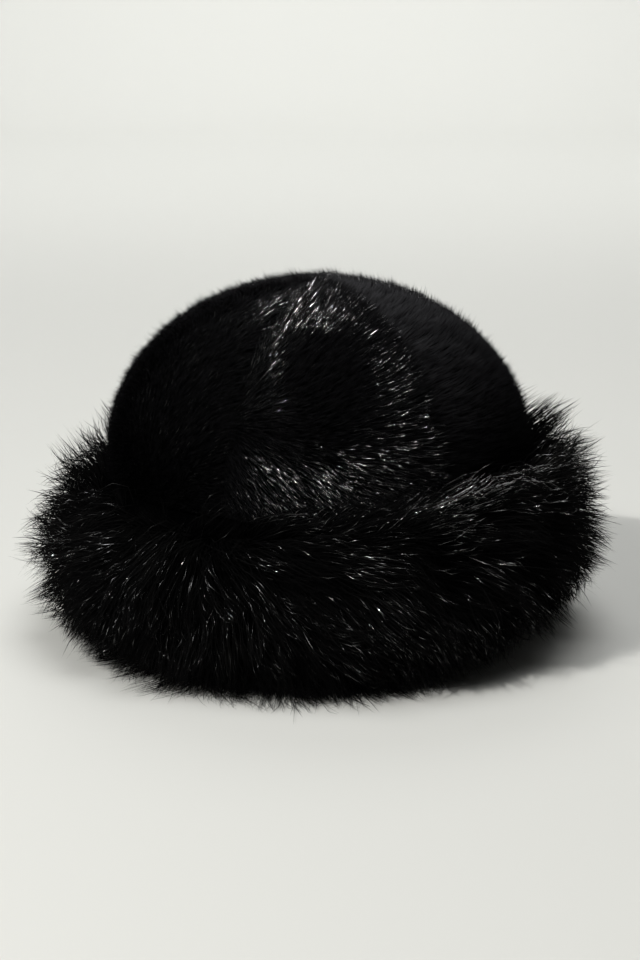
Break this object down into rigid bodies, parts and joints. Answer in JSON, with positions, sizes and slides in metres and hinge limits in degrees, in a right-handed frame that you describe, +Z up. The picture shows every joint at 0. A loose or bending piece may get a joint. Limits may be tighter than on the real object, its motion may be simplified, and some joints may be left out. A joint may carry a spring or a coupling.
{
  "type": "faux fur bucket hat",
  "caption": "Black faux fur bucket hat: a rounded crown of short plush pile in sewn gores, and a deep, steep brim of long shaggy fur.",
  "frame": {"origin": "middle of the ring that the brim's hem rests on, at the surface, under the hat", "axes": "+Z up, -Y the hat's front, +X the wearer's left"},
  "size_m": [0.2776, 0.2984, 0.1689],
  "materials": {
    "crown_pile": "short black plush pile with a soft sheen",
    "brim_fur": "long glossy black faux fur"
  },
  "bodies": {
    "root": {"crown_gore_1": "crown_pile", "crown_gore_2": "crown_pile", "crown_gore_3": "crown_pile", "crown_gore_4": "crown_pile", "crown_gore_5": "crown_pile", "crown_gore_6": "crown_pile", "fur_brim": "brim_fur"}
  },
  "joints": []
}
